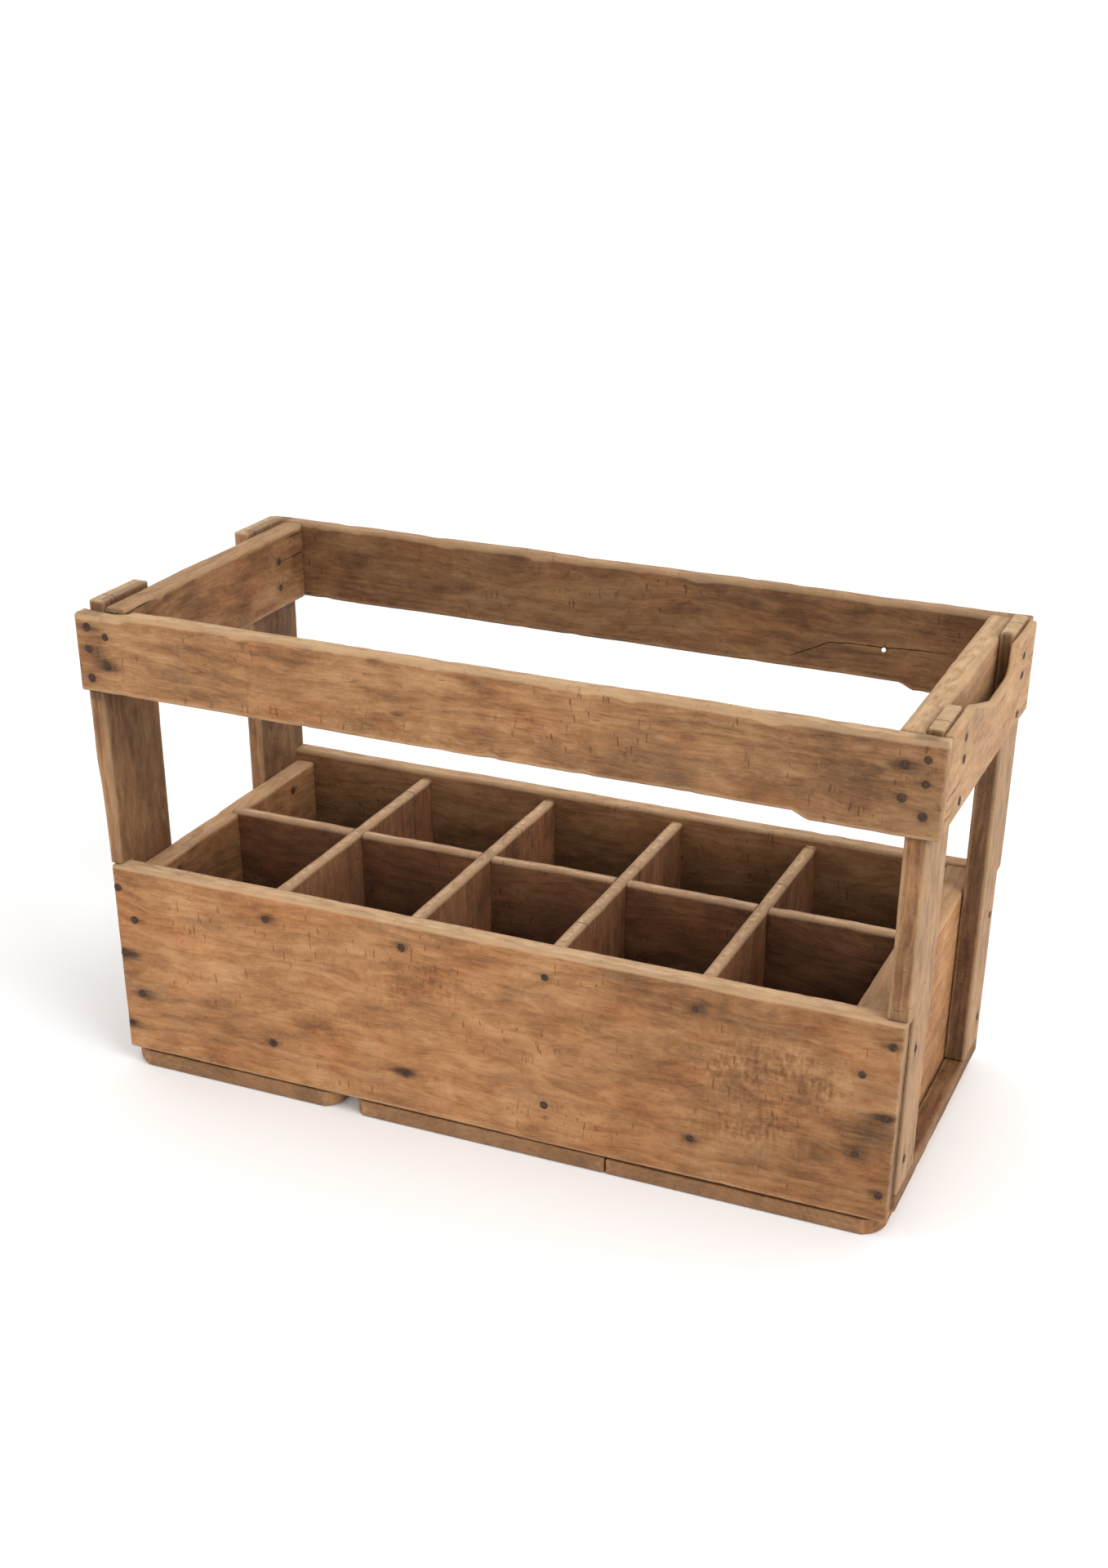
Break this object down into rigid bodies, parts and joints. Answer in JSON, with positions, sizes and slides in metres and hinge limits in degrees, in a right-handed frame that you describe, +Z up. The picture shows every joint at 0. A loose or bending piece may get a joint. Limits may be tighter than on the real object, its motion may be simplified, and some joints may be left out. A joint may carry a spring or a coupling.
{
  "type": "bottle caddy",
  "caption": "Weathered nailed wooden bottle crate: a low box divided into cells, corner posts, and an open frame of rails above with a scooped hand rail at an end.",
  "frame": {"origin": "under the middle of the crate, on the plane that the bottom slats stand on", "axes": "+X along the long boards towards the hand rail, +Y from the front board to the rear board, +Z up"},
  "size_m": [0.5, 0.222, 0.294],
  "materials": {
    "board_wood": "old, dry, unvarnished and worn",
    "post_wood": "old, dry, unvarnished and worn",
    "rail_wood": "old, dry, unvarnished and worn",
    "divider_wood": "old, dry, unvarnished and worn",
    "slat_wood": "old, dry, unvarnished and worn",
    "nail_iron": "rusted dark brown"
  },
  "bodies": {
    "root": {"front_board": "board_wood", "rear_board": "board_wood", "left_end_panel": "board_wood", "right_end_panel": "board_wood", "front_left_post": "post_wood", "front_right_post": "post_wood", "rear_left_post": "post_wood", "rear_right_post": "post_wood", "front_rail": "rail_wood", "rear_rail": "rail_wood", "left_inner_rail": "rail_wood", "right_inner_rail": "rail_wood", "right_hand_rail": "rail_wood", "long_divider": "divider_wood", "cross_divider_1": "divider_wood", "cross_divider_2": "divider_wood", "cross_divider_3": "divider_wood", "cross_divider_4": "divider_wood", "bottom_slat_left": "slat_wood", "bottom_slat_middle": "slat_wood", "bottom_slat_right": "slat_wood", "right_batten": "slat_wood", "front_rail_nails": "nail_iron", "rear_rail_nails": "nail_iron", "front_board_nails": "nail_iron", "rear_board_nails": "nail_iron", "front_divider_nails": "nail_iron", "rear_divider_nails": "nail_iron", "hand_rail_nails": "nail_iron", "left_inner_rail_nails": "nail_iron", "right_inner_rail_nails": "nail_iron", "left_panel_nails": "nail_iron", "left_post_nails": "nail_iron", "right_post_nails": "nail_iron", "bottom_nails": "nail_iron", "batten_nails": "nail_iron"}
  },
  "joints": []
}
